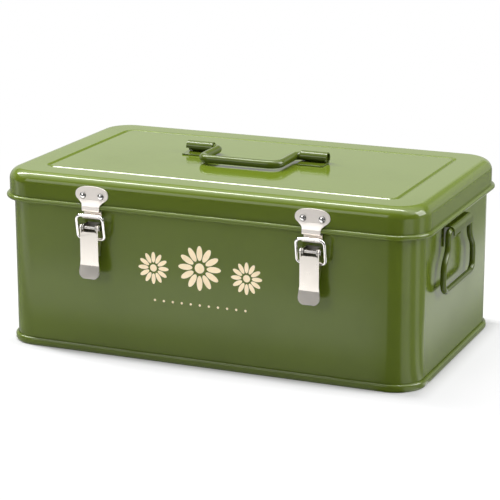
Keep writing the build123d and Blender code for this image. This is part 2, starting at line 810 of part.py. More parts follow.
# Handle clips: a strap rolled round the wire, spot welded to the lid by its foot
for side, sign in sides:
    clip_start = handle_middle + sign * handle_clip_start
    with BuildPart() as handle_clip:
        with BuildSketch(Plane.YZ.offset(clip_start)):
            with Locations((handle_pivot_y, handle_pivot_height)):
                Circle(clip_outer)
                Circle(clip_bore, mode=Mode.SUBTRACT)
                with BuildLine():
                    Polyline(
                        (handle_pivot_y, handle_pivot_height),
                        (handle_pivot_y - 2 * clip_outer, handle_pivot_height - clip_bore / 2),
                        (handle_pivot_y - 2 * clip_outer, lid_top - clip_outer),
                        (handle_pivot_y, lid_top - clip_outer),
                        close=True,
                    )
                make_face(mode=Mode.SUBTRACT)
            with Locations((handle_pivot_y, lid_top)):
                Rectangle(handle_clip_foot, clip_sheet, align=(Align.MAX, Align.MIN))
        extrude(amount=sign * handle_clip_length)
        foot_corners = handle_clip.edges().filter_by(Axis.Z).group_by(Axis.Y)[0]
        fillet(foot_corners, radius=handle_clip_corner)
    handle_clip.part.label = f"handle_clip_{side}"
    export_step(handle_clip.part, f"parts/handle_clip_{side}.step")

# Carry handle: thick wire, lying forward on the lid
with BuildPart() as top_handle:
    handle_plane = Plane(origin=(handle_middle, handle_pivot_y, handle_pivot_height))
    stub_end = handle_leg + handle_stub
    add(
        bent_wire(
            handle_plane,
            (
                (-stub_end, 0),
                (-handle_leg, 0),
                (-handle_leg, -handle_reach),
                (handle_leg, -handle_reach),
                (handle_leg, 0),
                (stub_end, 0),
            ),
            (handle_leg_bend, handle_grip_bend, handle_grip_bend, handle_leg_bend),
            handle_wire,
        )
    )
top_handle.part.label = "top_handle"
export_step(top_handle.part, "parts/top_handle.step")

# ---- Drop handles on the ends ----

end_pivot_height = bead_height - end_pivot_drop
end_neck = end_pivot_height - end_neck_length
end_flare = end_pivot_height - end_flare_length
end_bottom = end_pivot_height - end_length
clip_bend = end_wire + clip_clearance + clip_sheet / 2  # along the middle of the strap
clip_top = end_pivot_height + clip_bend
clip_front = end_pivot_out + clip_bend
for side, sign in sides:
    # End clip: a strap welded to the wall and bent over the top bar of the handle
    with BuildPart() as end_clip:
        clip_section = bent_strip(
            Plane.XZ.offset(-end_middle),
            (
                (half_width + clip_sheet / 2, end_pivot_height - end_clip_drop),
                (half_width + clip_sheet / 2, clip_top),
                (half_width + clip_front, clip_top),
                (half_width + clip_front, end_pivot_height - end_clip_lip),
            ),
            (clip_sheet, clip_bend),
            clip_sheet,
        )
        extrude(clip_section, amount=end_clip_length / 2, both=True)
        if side == "left":
            mirror(about=Plane.YZ, mode=Mode.REPLACE)
    end_clip.part.label = f"end_clip_{side}"
    export_step(end_clip.part, f"parts/end_clip_{side}.step")

    # End handle: a closed wire loop, narrow in the clip and wide where the hand goes
    with BuildPart() as end_handle:
        loop_plane = Plane.YZ.offset(sign * (half_width + end_pivot_out))
        add(
            bent_wire(
                loop_plane,
                (
                    (end_middle - end_narrow, end_pivot_height),
                    (end_middle + end_narrow, end_pivot_height),
                    (end_middle + end_narrow, end_neck),
                    (end_middle + end_wide, end_flare),
                    (end_middle + end_wide, end_bottom),
                    (end_middle - end_wide, end_bottom),
                    (end_middle - end_wide, end_flare),
                    (end_middle - end_narrow, end_neck),
                ),
                (
                    end_top_bend,
                    end_top_bend,
                    end_flare_bend,
                    end_flare_bend,
                    end_bottom_bend,
                    end_bottom_bend,
                    end_flare_bend,
                    end_flare_bend,
                ),
                end_wire,
                closed=True,
            )
        )
    end_handle.part.label = f"end_handle_{side}"
    export_step(end_handle.part, f"parts/end_handle_{side}.step")
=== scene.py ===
import bmesh
import bpy
import math
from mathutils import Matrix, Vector
from mathutils.geometry import interpolate_bezier


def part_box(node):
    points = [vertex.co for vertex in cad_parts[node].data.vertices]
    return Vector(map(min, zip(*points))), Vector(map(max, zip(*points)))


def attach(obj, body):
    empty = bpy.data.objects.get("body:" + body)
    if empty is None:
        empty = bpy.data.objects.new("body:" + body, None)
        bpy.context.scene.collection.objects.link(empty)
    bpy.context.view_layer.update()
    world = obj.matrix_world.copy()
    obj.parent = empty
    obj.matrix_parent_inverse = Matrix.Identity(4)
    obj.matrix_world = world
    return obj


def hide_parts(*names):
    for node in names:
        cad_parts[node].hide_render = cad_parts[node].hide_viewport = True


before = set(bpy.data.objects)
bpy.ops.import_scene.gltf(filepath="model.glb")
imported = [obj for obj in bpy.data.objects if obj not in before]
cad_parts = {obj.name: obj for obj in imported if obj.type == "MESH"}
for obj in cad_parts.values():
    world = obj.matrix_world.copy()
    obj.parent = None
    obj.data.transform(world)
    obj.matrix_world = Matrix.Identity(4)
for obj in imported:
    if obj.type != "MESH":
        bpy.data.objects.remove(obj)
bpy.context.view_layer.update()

# ---- Box wall ----
# One band of sheet steel, bent round four upright corners, with its top edge rolled inwards to a
# round rim. Green enamel, inside and out. It stands on the base pan, inside the foot band.
wall_low, wall_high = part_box("body_wall")
wall_half_width = wall_high.x
wall_half_depth = wall_high.y
wall_corner = 0.024
wall_sheet = 0.0008
rim_radius = 0.00125
rim_steps = 22
flat_below_rim = 0.004
corner_steps = 22
weld_reach = 1e-6
enamel_green = (0.087, 0.122, 0.0108, 1.0)
enamel_shade = (0.077, 0.109, 0.0088, 1.0)
enamel_shine = 0.40
ripple_depth = 0.0001


def arc_points(out, height, radius, start, end, steps):
    """An arc in a profile, from one angle to another: distances out from the wall, and heights."""
    turn = math.radians(end - start) / steps
    angles = [math.radians(start) + turn * step for step in range(steps + 1)]
    return [(out + radius * math.cos(angle), height + radius * math.sin(angle)) for angle in angles]


def rounded_loop(half_width, half_depth, corner, height):
    """A rounded rectangle at one height, anticlockwise from above."""
    points = []
    for quarter, (side_x, side_y) in enumerate(((1, 1), (-1, 1), (-1, -1), (1, -1))):
        centre_x = side_x * (half_width - corner)
        centre_y = side_y * (half_depth - corner)
        for step in range(corner_steps + 1):
            angle = math.radians(90 * (quarter + step / corner_steps))
            across = corner * math.cos(angle)
            along = corner * math.sin(angle)
            points.append((centre_x + across, centre_y + along, height))
    return points


def wall_loops(profile):
    """Loops that follow the wall at each (out, height) of a profile."""
    return [
        rounded_loop(wall_half_width + out, wall_half_depth + out, wall_corner + out, height)
        for out, height in profile
    ]


def skin_loops(mesh, loops, closed=False):
    """Joins loops of equal length with faces, in order, and gives their vertices back."""
    rings = [[mesh.verts.new(point) for point in loop] for loop in loops]
    uppers = rings[1:] + rings[:1] if closed else rings[1:]
    for lower, upper in zip(rings, uppers):
        for i in range(len(lower)):
            j = (i + 1) % len(lower)
            mesh.faces.new((lower[i], lower[j], upper[j], upper[i]))
    return rings


def add_piece(data, name, material, body, nodes):
    """Links a finished mesh as a piece that rides on a body and stands for its nodes."""
    piece = bpy.data.objects.new(name, data)
    bpy.context.scene.collection.objects.link(piece)
    data.materials.clear()
    data.materials.append(material)
    shading = piece.modifiers.new("even shading", "WEIGHTED_NORMAL")
    shading.keep_sharp = True
    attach(piece, body)
    if nodes:
        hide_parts(*nodes)
    return piece


def pressed_mesh(mesh, name, crease=40):
    """Closes a mesh made from loops: doubles merged, faces outwards and smooth, creases sharp."""
    bmesh.ops.remove_doubles(mesh, verts=mesh.verts, dist=weld_reach)
    bmesh.ops.recalc_face_normals(mesh, faces=mesh.faces)
    for edge in mesh.edges:
        edge.smooth = len(edge.link_faces) == 2 and edge.calc_face_angle() < math.radians(crease)
    for face in mesh.faces:
        face.smooth = True
    data = bpy.data.meshes.new(name)
    mesh.to_mesh(data)
    mesh.free()
    return data


def feed(tree, node, inputs):
    """Gives each named input of a node a plain value, or a link from the socket that holds it."""
    for label, value in inputs.items():
        if isinstance(value, bpy.types.NodeSocket):
            tree.links.new(value, node.inputs[label])
        else:
            node.inputs[label].default_value = value


def put(tree, kind, inputs=None, **settings):
    """Adds a node of a kind, with its settings and inputs."""
    node = tree.nodes.new(kind)
    for setting, value in settings.items():
        setattr(node, setting, value)
    feed(tree, node, inputs or {})
    return node


def start_tree(name, kind, inputs, outputs):
    """A node tree with named sockets, grouped by what they carry; a dict gives usual values too."""
    tree = bpy.data.node_groups.new(name, kind)
    for way, sorts in (("INPUT", inputs), ("OUTPUT", outputs)):
        for sort, labels in sorts.items():
            for label in labels:
                carries = f"NodeSocket{sort}"
                socket = tree.interface.new_socket(name=label, in_out=way, socket_type=carries)
                if isinstance(labels, dict):
                    socket.default_value = labels[label]
    return tree, put(tree, "NodeGroupInput").outputs


def reckon(tree, operation, *terms):
    """The result of a math node, its terms in order."""
    return put(tree, "ShaderNodeMath", dict(enumerate(terms)), operation=operation).outputs["Value"]


def noise(tree, place, scale, detail=2.0, roughness=0.5):
    """Noise at a place, from 0 to 1."""
    look = {"Vector": place, "Scale": scale, "Detail": detail, "Roughness": roughness}
    return put(tree, "ShaderNodeTexNoise", look).outputs["Fac"]


def make_spray_skin():
    """Sprayed and baked enamel: tiny ripples, faint clouds in the colour, and handling smudges."""
    usual = {"Ripple Scale": 420.0, "Cloud Scale": 9.0, "Gloss": 0.1, "Smudge": 0.12}
    results = ("Cloud", "Roughness", "Height")
    tree, sizes = start_tree("spray_skin", "ShaderNodeTree", {"Float": usual}, {"Float": results})
    place = put(tree, "ShaderNodeTexCoord").outputs["Object"]
    ripple = noise(tree, place, sizes["Ripple Scale"], detail=1.5)
    cloud = noise(tree, place, sizes["Cloud Scale"], detail=5.0, roughness=0.65)
    smudge_reach = {"Value": cloud, "From Min": 0.45, "From Max": 0.75}
    smudge = put(tree, "ShaderNodeMapRange", smudge_reach).outputs["Result"]
    rough = reckon(tree, "MULTIPLY_ADD", smudge, sizes["Smudge"], sizes["Gloss"])
    put(tree, "NodeGroupOutput", {"Cloud": smudge, "Roughness": rough, "Height": ripple})
    return tree


spray_skin = make_spray_skin()


def new_material(name):
    """A new material, its node tree and its shader."""
    material = bpy.data.materials.new(name)
    material.use_nodes = True
    tree = material.node_tree
    return material, tree, tree.nodes["Principled BSDF"]


def mix_colours(tree, first, second, factor):
    """Mixes two colours, fixed or from a socket, by a factor from another node."""
    mix = put(tree, "ShaderNodeMix", {"Factor": factor}, data_type="RGBA")
    first_place, second_place = [i for i, socket in enumerate(mix.inputs) if socket.type == "RGBA"]
    feed(tree, mix, {first_place: first, second_place: second})
    return [socket for socket in mix.outputs if socket.type == "RGBA"][0]


def bump(tree, height, strength, distance):
    """A bumped normal from a height."""
    look = {"Height": height, "Strength": strength, "Distance": distance}
    return put(tree, "ShaderNodeBump", look).outputs["Normal"]


def make_enamel(name, gloss, ripple_scale, ripple_strength, painted_shade_factor=1.0):
    """Glossy green enamel on steel; where it lies thicker it looks darker. A shade factor below 1
    darkens the whole colour as painted shade.
    """
    material, tree, shader = new_material(name)
    skin_sizes = {"Gloss": gloss, "Ripple Scale": ripple_scale}
    skin = put(tree, "ShaderNodeGroup", skin_sizes, node_tree=spray_skin).outputs
    fresh, shaded = [
        (red * painted_shade_factor, green * painted_shade_factor, blue * painted_shade_factor, opacity)
        for red, green, blue, opacity in (enamel_green, enamel_shade)
    ]
    feed(tree, shader, {
        "Base Color": mix_colours(tree, fresh, shaded, skin["Cloud"]),
        "Roughness": skin["Roughness"],
        "Normal": bump(tree, skin["Height"], ripple_strength, ripple_depth),
        "Specular IOR Level": enamel_shine,
    })
    return material


wall_enamel = make_enamel("wall_enamel", gloss=0.11, ripple_scale=420.0, ripple_strength=0.08)

rim_height = wall_high.z - rim_radius
rim_meets_wall = math.degrees(math.asin((rim_radius - wall_sheet) / rim_radius))
below_rim = rim_height - flat_below_rim
wall_profile = [(0.0, wall_low.z), (0.0, below_rim)]
wall_profile += arc_points(-rim_radius, rim_height, rim_radius, 0, 270 + rim_meets_wall, rim_steps)
wall_profile += [(-wall_sheet, below_rim), (-wall_sheet, wall_low.z)]
band = bmesh.new()
skin_loops(band, wall_loops(wall_profile), closed=True)
add_piece(pressed_mesh(band, "wall_band"), "wall_band", wall_enamel, "box", ["body_wall"])

# ---- Base pan and foot band ----
# The bottom is one flat pressing with a stiffening channel. A strip is closed round its edge and the
# foot of the wall and soldered to both, which leaves a rounded bead all round.
pan_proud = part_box("base_pan")[1].x - wall_half_width
channel_start = -0.009
channel_end = -0.021
channel_rise = 0.0012
channel_slope = 0.0006
floor_under = wall_low.z + channel_rise
pan_profile = [(channel_end - channel_slope, wall_low.z), (channel_end, floor_under)]
pan_profile += [(channel_start, floor_under), (channel_start + channel_slope, wall_low.z)]
pan_profile += [(pan_proud, wall_low.z), (pan_proud, 0.0)]
pan_profile += [(channel_start, 0.0), (channel_start - channel_slope, channel_rise)]
pan_profile += [(channel_end + channel_slope, channel_rise), (channel_end, 0.0)]
pan = bmesh.new()
pan_rings = skin_loops(pan, wall_loops(pan_profile))
pan.faces.new(pan_rings[0])
pan.faces.new(pan_rings[-1])
pan_data = pressed_mesh(pan, "pressed_pan")
add_piece(pan_data, "pressed_pan", wall_enamel, "box", ["base_pan"])

band_low, band_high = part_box("foot_band")
band_proud = band_high.x - wall_half_width
band_top_round = 0.0022
band_top_steps = 8
band_foot_round = 0.0014
band_foot_steps = 6
solder_fillet = 0.0004
band_profile = [(0.0, band_low.z), (0.0, band_high.z - solder_fillet), (solder_fillet, band_high.z)]
for height, radius, start, end, steps in (
    (band_high.z - band_top_round, band_top_round, 90, 0, band_top_steps),
    (band_low.z + band_foot_round, band_foot_round, 0, -90, band_foot_steps),
):
    band_profile += arc_points(band_proud - radius, height, radius, start, end, steps)
foot = bmesh.new()
skin_loops(foot, wall_loops(band_profile), closed=True)
foot_data = pressed_mesh(foot, "closed_band")
add_piece(foot_data, "closed_band", wall_enamel, "box", ["foot_band"])

# ---- Partition and index cards ----
# A folded sheet with a hemmed top edge divides the tin lengthwise. Loose cards of thick cream board,
# each with a tab, stand in two rows between the packets.
board_cream = (0.76, 0.67, 0.50, 1.0)
board_fleck = (0.60, 0.50, 0.34, 1.0)
board_fibre_scale = 900.0
board_age_scale = 25.0
board_smoothest, board_roughest = 0.65, 0.9
board_bumps = 0.5
board_bump_depth = 0.0001


def finish_nodes(names, material):
    """Gives CAD nodes their finish; their meshes stay as they are."""
    for name in names:
        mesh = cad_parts[name].data
        mesh.materials.clear()
        mesh.materials.append(material)


inside_enamel = make_enamel("inside_enamel", gloss=0.2, ripple_scale=300.0, ripple_strength=0.15)
finish_nodes(["partition"], inside_enamel)

card_board, board_tree, board_shader = new_material("card_board")
board_place = put(board_tree, "ShaderNodeTexCoord").outputs["Object"]
board_fibre = noise(board_tree, board_place, board_fibre_scale, detail=4.0)
board_age = noise(board_tree, board_place, board_age_scale)
board_reach = {"Value": board_fibre, "To Min": board_smoothest, "To Max": board_roughest}
board_rough = put(board_tree, "ShaderNodeMapRange", board_reach)
feed(board_tree, board_shader, {
    "Base Color": mix_colours(board_tree, board_cream, board_fleck, board_age),
    "Roughness": board_rough.outputs["Result"],
    "Normal": bump(board_tree, board_fibre, board_bumps, board_bump_depth),
})
for row in ("front", "back"):
    finish_nodes([f"card_{row}_{place}" for place in (1, 2, 3, 4)], card_board)

# ---- Lid ----
# Drawn from one sheet: a flat top with a pressed groove, a rounded edge and a short skirt that ends in a
# rolled bead. Green enamel like the box, a little glossier on top.
lid_low, lid_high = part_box("lid_shell")
bead_radius = 0.0022
bead_steps = 32
bead_height = lid_low.z + bead_radius
bead_out = lid_high.x - wall_half_width - bead_radius
skirt_out = 0.0038
lid_top = lid_high.z
lid_round = 0.0095
lid_round_steps = 18
lid_crease = 50
groove_inset = 0.0275
groove_width = 0.0044
groove_depth = 0.0013
groove_corner = 0.010
groove_wall_run = 0.0016
groove_soft = 0.0003
groove_least_corner = 0.003


def groove_section(width):
    """Across the groove from its outer edge: distances in, and drops, with sloping walls."""
    soft_drop = groove_soft * groove_depth / groove_wall_run
    near = [
        (-groove_soft, 0.0),
        (groove_soft, -soft_drop),
        (groove_wall_run - groove_soft, soft_drop - groove_depth),
        (groove_wall_run + groove_soft / 2, -groove_depth),
    ]
    return near + [(width - run, drop) for run, drop in reversed(near)]


def lid_loops(inward):
    """Loops over the lid from above the bead to inside the groove, moved inward by part of the sheet."""
    face = skirt_out - inward
    top = lid_top - inward
    radius = lid_round - inward
    edge = [(face, bead_height + bead_radius)]
    edge += arc_points(face - radius, top - radius, radius, 0, 90, lid_round_steps)
    loops = wall_loops(edge)
    for run, drop in groove_section(groove_width + 2 * inward):
        inset = groove_inset - inward + run
        corner = max(groove_corner + inward - run, groove_least_corner)
        half_width = wall_half_width + skirt_out - inset
        half_depth = wall_half_depth + skirt_out - inset
        loops.append(rounded_loop(half_width, half_depth, corner, top + drop))
    return loops


outer_meets = math.degrees(math.acos((skirt_out - bead_out) / bead_radius))
inner_meets = math.degrees(math.acos((skirt_out - wall_sheet - bead_out) / bead_radius))
bead_turn = (inner_meets, outer_meets + 360, bead_steps)
bead_loops = wall_loops(arc_points(bead_out, bead_height, bead_radius, *bead_turn))
lid = bmesh.new()
outer_rings = skin_loops(lid, bead_loops + lid_loops(0.0))
inner_rings = skin_loops(lid, bead_loops[:1] + lid_loops(wall_sheet))
lid.faces.new(outer_rings[-1])
lid.faces.new(inner_rings[-1])
lid_enamel = make_enamel("lid_enamel", gloss=0.08, ripple_scale=380.0, ripple_strength=0.08)
lid_data = pressed_mesh(lid, "drawn_lid", lid_crease)
add_piece(lid_data, "drawn_lid", lid_enamel, "lid", ["lid_shell"])

# ---- Latch and hinge plates ----
# Blanked and folded from nickelled sheet: the brackets on the wall, the catch plates on the lid, the
# levers with their finger tabs, and the hinge leaves. Tumbling has rounded their cut edges.
cut_edge = 0.00028
cut_edge_steps = 3
cut_edge_angle = 35
plate_weld = 2e-6
plate_flatness = 1.0
plating_depth = 0.00003
finger_mark_scale = 90.0
catch_sheet = 0.001
catch_top = lid_top - 0.006
catch_crown_pull = 0.0104
catch_crown_steps = 24
catch_widest = (0.01465, catch_top - 0.0074)
catch_side_pull = (0.0052, 0.0040)
catch_side_steps = 20
catch_neck = (0.0078, catch_top - 0.0160)
catch_neck_pull = (0.0006, 0.0030)
catch_face_out = 0.0043
catch_shelf_out = 0.0072
catch_throat_out = 0.0029
catch_lip_out = 0.0076
catch_step_top = 0.13157
catch_step_foot = 0.12656
catch_shelf = 0.1228
catch_hook_foot = 0.1169
catch_lip_top = 0.1194
catch_step_bend = 0.0015
catch_shelf_bend = 0.001
catch_hook_bend = 0.0017
catch_bend_steps = 8
catch_path = (
    (catch_face_out, catch_top, 0.0),
    (catch_face_out, catch_step_top, catch_step_bend),
    (catch_shelf_out, catch_step_foot, catch_step_bend),
    (catch_shelf_out, catch_shelf, catch_shelf_bend),
    (catch_throat_out, catch_shelf, catch_shelf_bend),
    (catch_throat_out, catch_hook_foot, catch_hook_bend),
    (catch_lip_out, catch_hook_foot, catch_hook_bend),
    (catch_lip_out, catch_lip_top, 0.0),
)


def vector(tree, x, y, z):
    """A vector put together from numbers or sockets."""
    return put(tree, "ShaderNodeCombineXYZ", {"X": x, "Y": y, "Z": z}).outputs["Vector"]


def make_drawn_grain():
    """Rolled and tumbled metal: fine streaks along one axis, and cloudy finger marks."""
    usual = {"Grain Scale": 900.0, "Stretch": 0.05, "Polish": 0.2, "Marks": 0.15}
    results = ("Tone", "Roughness", "Height")
    tree, sizes = start_tree("drawn_grain", "ShaderNodeTree", {"Float": usual}, {"Float": results})
    place = put(tree, "ShaderNodeTexCoord").outputs["Object"]
    shape = vector(tree, 1.0, 1.0, sizes["Stretch"])
    stretched = put(tree, "ShaderNodeVectorMath", {0: place, 1: shape}, operation="MULTIPLY")
    grain = noise(tree, stretched.outputs["Vector"], sizes["Grain Scale"], detail=3.0)
    marks = noise(tree, place, finger_mark_scale, detail=4.0)
    put(tree, "NodeGroupOutput", {
        "Tone": reckon(tree, "MULTIPLY", grain, marks),
        "Roughness": reckon(tree, "MULTIPLY_ADD", marks, sizes["Marks"], sizes["Polish"]),
        "Height": grain,
    })
    return tree


drawn_grain = make_drawn_grain()


def make_nickel(name, light, dull, polish, stretch, bumps):
    """Nickel plating over steel; its streaks shift between a light and a dull colour."""
    material, tree, shader = new_material(name)
    grain_sizes = {"Polish": polish, "Stretch": stretch}
    grain = put(tree, "ShaderNodeGroup", grain_sizes, node_tree=drawn_grain).outputs
    feed(tree, shader, {
        "Base Color": mix_colours(tree, (*light, 1.0), (*dull, 1.0), grain["Tone"]),
        "Roughness": grain["Roughness"],
        "Normal": bump(tree, grain["Height"], bumps, plating_depth),
        "Metallic": 1.0,
    })
    return material


def round_cut_edges(piece, edge=cut_edge):
    """Rounds the cut edges of a plate before its shading is evened out."""
    rounding = piece.modifiers.new("rounded edges", "BEVEL")
    rounding.width = edge
    rounding.segments = cut_edge_steps
    rounding.limit_method = "ANGLE"
    rounding.angle_limit = math.radians(cut_edge_angle)
    piece.modifiers.move(1, 0)


def softened_plate(node_name, name, material, body, edge=cut_edge):
    """A plate from its node's outline, merged to whole faces, with its cut edges rounded over."""
    plate = bmesh.new()
    plate.from_mesh(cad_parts[node_name].data)
    bmesh.ops.remove_doubles(plate, verts=plate.verts, dist=plate_weld)
    flat = math.radians(plate_flatness)
    bmesh.ops.dissolve_limit(plate, angle_limit=flat, verts=plate.verts, edges=plate.edges)
    for face in plate.faces:
        face.smooth = True
    data = bpy.data.meshes.new(name)
    plate.to_mesh(data)
    plate.free()
    round_cut_edges(add_piece(data, name, material, body, [node_name]), edge)


def rounded_path(corners, steps):
    """A line through corners with given radii, (out, height, radius), as dense (out, height) points."""
    path = [Vector(corners[0][:2])]
    for before, here, after in zip(corners, corners[1:], corners[2:]):
        corner, radius = Vector(here[:2]), here[2]
        back = (Vector(before[:2]) - corner).normalized()
        ahead = (Vector(after[:2]) - corner).normalized()
        half = back.angle(ahead) / 2
        centre = corner + (back + ahead).normalized() * radius / math.sin(half)
        start = corner + back * radius / math.tan(half) - centre
        end = corner + ahead * radius / math.tan(half) - centre
        for step in range(steps + 1):
            path.append(centre + start.slerp(end, step / steps).normalized() * radius)
    path.append(Vector(corners[-1][:2]))
    return path


def head_outline():
    """The catch plate's rounded head: half widths and heights, from the crown down to the neck."""
    crown, widest, neck = Vector((0.0, catch_top)), Vector(catch_widest), Vector(catch_neck)
    crown_pull = crown + Vector((catch_crown_pull, 0.0))
    upper_pull = widest + Vector((0.0, catch_side_pull[0]))
    lower_pull = widest - Vector((0.0, catch_side_pull[1]))
    neck_pull = neck + Vector(catch_neck_pull)
    head = interpolate_bezier(crown, crown_pull, upper_pull, widest, catch_crown_steps)
    return head + interpolate_bezier(widest, lower_pull, neck_pull, neck, catch_side_steps)[1:]


def catch_mesh(name, middle):
    """The catch plate: rows across its rounded blank, along the path of its bends."""
    outline = head_outline()
    path = rounded_path(catch_path, catch_bend_steps)
    stations = [(path[0], 0.0)]
    for start, end in zip(path, path[1:]):
        if start.y > catch_neck[1]:
            for spot in outline:
                if end.y < spot.y < start.y:
                    share = (start.y - spot.y) / (start.y - end.y)
                    stations.append((start.lerp(end, share), spot.x))
        else:
            stations.append((end, catch_neck[0]))
    rows = []
    for i, (place, half) in enumerate(stations):
        along = stations[min(i + 1, len(stations) - 1)][0] - stations[max(i - 1, 0)][0]
        outward = Vector((-along.y, along.x)).normalized() * catch_sheet / 2
        front, back = place + outward, place - outward
        ends = ((-half, front), (half, front), (half, back), (-half, back))
        rows.append([(middle + x, -wall_half_depth - spot.x, spot.y) for x, spot in ends])
    plate = bmesh.new()
    rings = skin_loops(plate, rows)
    plate.faces.new(rings[-1])
    return pressed_mesh(plate, name, crease=180)


catch_nickel = make_nickel(
    "catch_nickel", (1.0, 0.94, 0.88), (0.92, 0.86, 0.80), polish=0.42, stretch=0.3, bumps=0.3
)
lever_nickel = make_nickel(
    "lever_nickel", (1.0, 0.94, 0.86), (0.94, 0.88, 0.80), polish=0.22, stretch=0.06, bumps=0.25
)
# The bracket nickel is much darker than the rest, as painted shade for the shadow under the lever
bracket_nickel_painted_shade = make_nickel(
    "bracket_nickel_painted_shade", (0.50, 0.48, 0.45), (0.36, 0.34, 0.32), polish=0.30, stretch=0.3, bumps=0.2
)
leaf_steel = make_nickel(
    "leaf_steel", (0.80, 0.78, 0.76), (0.66, 0.64, 0.62), polish=0.25, stretch=0.1, bumps=0.3
)
for side in ("left", "right"):
    bracket, bracket_plate = f"latch_bracket_{side}", f"bracket_plate_{side}"
    softened_plate(bracket, bracket_plate, bracket_nickel_painted_shade, "box")
    catch_low, catch_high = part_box(f"catch_plate_{side}")
    catch_data = catch_mesh(f"stepped_catch_{side}", (catch_low.x + catch_high.x) / 2)
    catch_names = [f"catch_plate_{side}"]
    catch = add_piece(catch_data, catch_data.name, catch_nickel, "lid", catch_names)
    round_cut_edges(catch)
    lever, lever_plate = f"latch_lever_{side}", f"lever_plate_{side}"
    softened_plate(lever, lever_plate, lever_nickel, f"lever_{side}")
    softened_plate(f"hinge_body_leaf_{side}", f"wall_leaf_{side}", leaf_steel, "box")
    softened_plate(f"hinge_lid_leaf_{side}", f"lid_leaf_{side}", leaf_steel, "lid")

# ---- Latch wires and pins ----
# Each bail is a loop of hard bright wire that hooks over the catch and turns in the lever. The lever and
# hinge pins are plain steel, headed over at both ends; their colour is made dark as painted shade for
# the shadowed latch pivots.
bright_wire = make_nickel(
    "bright_wire", (0.95, 0.93, 0.91), (0.85, 0.82, 0.79), polish=0.12, stretch=0.4, bumps=0.1
)
pin_steel_painted_shade = make_nickel(
    "pin_steel_painted_shade", (0.52, 0.50, 0.48), (0.38, 0.36, 0.34), polish=0.18, stretch=0.6, bumps=0.1
)
finish_nodes(["latch_bail_left", "latch_bail_right"], bright_wire)
finish_nodes(["lever_pin_left", "lever_pin_right", "hinge_pin_left", "hinge_pin_right"], pin_steel_painted_shade)

# ---- Rivets ----
# Domed steel rivets, set from outside and headed over a little smaller inside. They hold the latch
# brackets and catch plates in front, and the hinge leaves at the back.
rivet_head = 0.0028
rivet_head_height = 0.0017
rivet_tail = 0.0021
rivet_tail_height = 0.0009
rivet_shank = 0.0013
rivet_dome_rings = 20
rivet_dome_sides = 32
rivet_shank_sides = 24
rivet_undercut = -0.12
# A near-black ring round the foot of each dome is painted shade, where the rivet meets its plate
rivet_painted_shade = (0.03, 0.03, 0.025, 1.0)
painted_shade_from, painted_shade_to = 0.75, 0.35


def make_rivet_tree():
    """Sets a rivet on each point: a dome outside, a shank, and a smaller dome inside."""
    lengths = ("Head Radius", "Head Height", "Tail Radius", "Tail Height", "Shank Radius", "Grip")
    inputs = {"Geometry": ("Points",), "Float": lengths, "Vector": ("Turn",), "Material": ("Plating",)}
    tree, sizes = start_tree("set_rivets", "GeometryNodeTree", inputs, {"Geometry": ("Rivets",)})
    joined = put(tree, "GeometryNodeJoinGeometry")
    for label, way in (("Head", 1.0), ("Tail", -1.0)):
        ball_sizes = {"Segments": rivet_dome_sides, "Rings": rivet_dome_rings}
        ball = put(tree, "GeometryNodeMeshUVSphere", ball_sizes).outputs["Mesh"]
        place = put(tree, "GeometryNodeInputPosition").outputs["Position"]
        spot = put(tree, "ShaderNodeSeparateXYZ", {"Vector": place}).outputs
        lift = reckon(tree, "MULTIPLY", reckon(tree, "MAXIMUM", spot["Z"], rivet_undercut), way)
        upright = vector(tree, spot["X"], spot["Y"], lift)
        dome = put(tree, "GeometryNodeSetPosition", {"Geometry": ball, "Position": upright})
        # The foot of each dome is marked for the ring of painted shade
        painted_shade_reach = {"Value": spot["Z"], "From Min": painted_shade_from, "From Max": painted_shade_to}
        dome = put(tree, "GeometryNodeStoreNamedAttribute", {
            "Geometry": dome.outputs["Geometry"],
            "Name": "foot",
            "Value": put(tree, "ShaderNodeMapRange", painted_shade_reach).outputs["Result"],
        })
        radius = sizes[f"{label} Radius"]
        seat = {
            "Geometry": dome.outputs["Geometry"],
            "Scale": vector(tree, radius, radius, sizes[f"{label} Height"]),
        }
        if way < 0:
            back = reckon(tree, "MULTIPLY", sizes["Grip"], -1.0)
            seat["Translation"] = vector(tree, 0.0, 0.0, back)
        dome = put(tree, "GeometryNodeTransform", seat).outputs["Geometry"]
        if way < 0:
            dome = put(tree, "GeometryNodeFlipFaces", {"Mesh": dome}).outputs["Mesh"]
        feed(tree, joined, {"Geometry": dome})
    shank = put(tree, "GeometryNodeMeshCylinder", {
        "Vertices": rivet_shank_sides, "Radius": sizes["Shank Radius"], "Depth": sizes["Grip"],
    })
    seat = {
        "Geometry": shank.outputs["Mesh"],
        "Translation": vector(tree, 0.0, 0.0, reckon(tree, "MULTIPLY", sizes["Grip"], -0.5)),
    }
    feed(tree, joined, {"Geometry": put(tree, "GeometryNodeTransform", seat).outputs["Geometry"]})
    turned = put(tree, "GeometryNodeInstanceOnPoints", {
        "Points": sizes["Points"], "Instance": joined.outputs["Geometry"], "Rotation": sizes["Turn"],
    })
    smooth = put(tree, "GeometryNodeSetShadeSmooth", {"Geometry": turned.outputs["Instances"]})
    real = put(tree, "GeometryNodeRealizeInstances", {"Geometry": smooth.outputs["Geometry"]})
    plating = {"Geometry": real.outputs["Geometry"], "Material": sizes["Plating"]}
    plated = put(tree, "GeometryNodeSetMaterial", plating)
    put(tree, "NodeGroupOutput", {"Rivets": plated.outputs["Geometry"]})
    return tree


